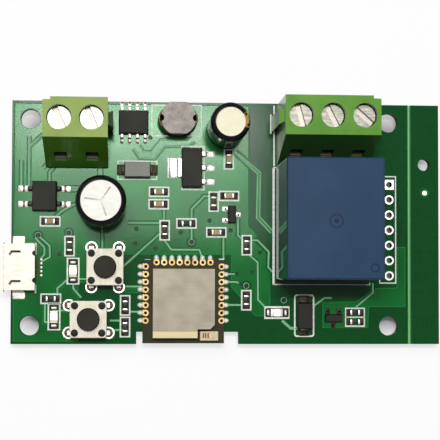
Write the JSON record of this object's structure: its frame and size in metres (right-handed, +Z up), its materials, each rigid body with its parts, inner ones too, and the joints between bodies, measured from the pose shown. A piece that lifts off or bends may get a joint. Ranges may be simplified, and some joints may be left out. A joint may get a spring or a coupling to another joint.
{
  "type": "smart relay module",
  "caption": "Bare green circuit board with a blue relay, screw terminals, wireless module, push switches and micro USB socket, for switching a mains load remotely.",
  "frame": {"origin": "centre of the four mounting holes, on the underside of the circuit board", "axes": "+Z up through the board, out of the component side; +X along the board towards the break-off rail; +Y across the board towards the screw terminals"},
  "size_m": [0.0724, 0.04, 0.019],
  "materials": {
    "solder_mask_board": "glossy green solder mask",
    "solder": "bright solder",
    "tinned_lead": "tinned",
    "relay_blue": "moulded, slightly glossy",
    "relay_base_plastic": "moulded",
    "bobbin_plastic": "moulded",
    "enamelled_copper": "enamelled wire",
    "plated_iron": "zinc plated",
    "contact_alloy": "rolled strip",
    "supply_green": "moulded",
    "load_green": "moulded",
    "plated_screw": "nickel plated",
    "plated_clamp": "nickel plated",
    "usb_steel": "nickel plated",
    "black_plastic": "moulded",
    "gold_plate": "gold plated",
    "switch_steel": "tinned sheet",
    "module_mask": "dark solder mask",
    "shield_sheet": "satin sheet",
    "antenna_ceramic": "fired",
    "can_aluminium": "drawn",
    "sleeve_black": "shrunk film",
    "bung_rubber": "moulded",
    "wound_paper": "wound foil and paper",
    "ferrite": "ground ferrite",
    "package_epoxy": "moulded epoxy",
    "diode_epoxy": "moulded epoxy",
    "capacitor_ceramic": "fired",
    "resistor_glaze": "glazed",
    "led_resin": "clear resin"
  },
  "bodies": {
    "board": {"pcb": "solder_mask_board", "solder_joints": "solder", "relay_cover": "relay_blue", "relay_base": "relay_base_plastic", "relay_bobbin": "bobbin_plastic", "relay_coil": "enamelled_copper", "relay_core": "plated_iron", "relay_yoke": "plated_iron", "relay_make_contact": "contact_alloy", "relay_break_contact": "contact_alloy", "relay_pins": "tinned_lead", "supply_terminal_housing": "supply_green", "load_terminal_housing": "load_green", "terminal_pins": "tinned_lead", "usb_shell": "usb_steel", "usb_insulator": "black_plastic", "usb_contacts": "gold_plate", "switch_bases": "black_plastic", "switch_covers": "switch_steel", "switch_legs": "tinned_lead", "switch_domes": "switch_steel", "module_board": "module_mask", "module_castellations": "gold_plate", "module_shield_can": "shield_sheet", "module_chips": "package_epoxy", "module_antenna": "antenna_ceramic", "input_capacitor_can": "can_aluminium", "input_capacitor_sleeve": "sleeve_black", "output_capacitor_can": "can_aluminium", "output_capacitor_sleeve": "sleeve_black", "capacitor_bungs": "bung_rubber", "capacitor_leads": "tinned_lead", "capacitor_elements": "wound_paper", "inductor_core": "ferrite", "inductor_winding": "enamelled_copper", "buck_converter": "package_epoxy", "bridge_rectifier": "package_epoxy", "voltage_regulator": "package_epoxy", "transistors": "package_epoxy", "diodes": "diode_epoxy", "package_leads": "tinned_lead", "chip_capacitors": "capacitor_ceramic", "chip_resistors": "resistor_glaze", "chip_terminations": "tinned_lead", "status_leds": "led_resin"},
    "screw_1": {"terminal_screw_1": "plated_screw"},
    "screw_2": {"terminal_screw_2": "plated_screw"},
    "screw_3": {"terminal_screw_3": "plated_screw"},
    "screw_4": {"terminal_screw_4": "plated_screw"},
    "screw_5": {"terminal_screw_5": "plated_screw"},
    "clamp_1": {"terminal_clamp_1": "plated_clamp"},
    "clamp_2": {"terminal_clamp_2": "plated_clamp"},
    "clamp_3": {"terminal_clamp_3": "plated_clamp"},
    "clamp_4": {"terminal_clamp_4": "plated_clamp"},
    "clamp_5": {"terminal_clamp_5": "plated_clamp"},
    "button_1": {"switch_plunger_1": "black_plastic"},
    "button_2": {"switch_plunger_2": "black_plastic"},
    "armature": {"relay_armature": "plated_iron", "relay_contact_leaf": "contact_alloy"}
  },
  "joints": [
    {"name": "screw_1_turn", "type": "hinge", "parent": "board", "child": "screw_1", "pos_m": [-0.02459, 0.01575, 0.0016], "axis": [0, 0, -1], "range_deg": [0, 1800]},
    {"name": "clamp_1_rise", "type": "slide", "parent": "board", "child": "clamp_1", "axis": [0, 0, 1], "range_m": [0, 0.002]},
    {"name": "screw_2_turn", "type": "hinge", "parent": "board", "child": "screw_2", "pos_m": [-0.01951, 0.01575, 0.0016], "axis": [0, 0, -1], "range_deg": [0, 1800]},
    {"name": "clamp_2_rise", "type": "slide", "parent": "board", "child": "clamp_2", "axis": [0, 0, 1], "range_m": [0, 0.002]},
    {"name": "screw_3_turn", "type": "hinge", "parent": "board", "child": "screw_3", "pos_m": [0.01347, 0.01655, 0.0016], "axis": [0, 0, -1], "range_deg": [0, 1800]},
    {"name": "clamp_3_rise", "type": "slide", "parent": "board", "child": "clamp_3", "axis": [0, 0, 1], "range_m": [0, 0.002]},
    {"name": "screw_4_turn", "type": "hinge", "parent": "board", "child": "screw_4", "pos_m": [0.01855, 0.01655, 0.0016], "axis": [0, 0, -1], "range_deg": [0, 1800]},
    {"name": "clamp_4_rise", "type": "slide", "parent": "board", "child": "clamp_4", "axis": [0, 0, 1], "range_m": [0, 0.002]},
    {"name": "screw_5_turn", "type": "hinge", "parent": "board", "child": "screw_5", "pos_m": [0.02363, 0.01655, 0.0016], "axis": [0, 0, -1], "range_deg": [0, 1800]},
    {"name": "clamp_5_rise", "type": "slide", "parent": "board", "child": "clamp_5", "axis": [0, 0, 1], "range_m": [0, 0.002]},
    {"name": "button_1_press", "type": "slide", "parent": "board", "child": "button_1", "axis": [0, 0, -1], "range_m": [0, 0.00025], "stiffness_N_per_m": 600, "springref_m": -0.001},
    {"name": "button_2_press", "type": "slide", "parent": "board", "child": "button_2", "axis": [0, 0, -1], "range_m": [0, 0.00025], "stiffness_N_per_m": 600, "springref_m": -0.001},
    {"name": "armature_pull", "type": "hinge", "parent": "board", "child": "armature", "pos_m": [0.01845, -0.00795, 0.0124], "axis": [-1, 0, 0], "range_deg": [0, 3], "stiffness_Nm_per_rad": 0.01, "springref_deg": -5.73}
  ],
  "couplings": [
    {"joint": "screw_1_turn", "follows": "clamp_1_rise", "rad_per_m": 13963},
    {"joint": "screw_2_turn", "follows": "clamp_2_rise", "rad_per_m": 13963},
    {"joint": "screw_3_turn", "follows": "clamp_3_rise", "rad_per_m": 13963},
    {"joint": "screw_4_turn", "follows": "clamp_4_rise", "rad_per_m": 13963},
    {"joint": "screw_5_turn", "follows": "clamp_5_rise", "rad_per_m": 13963}
  ]
}
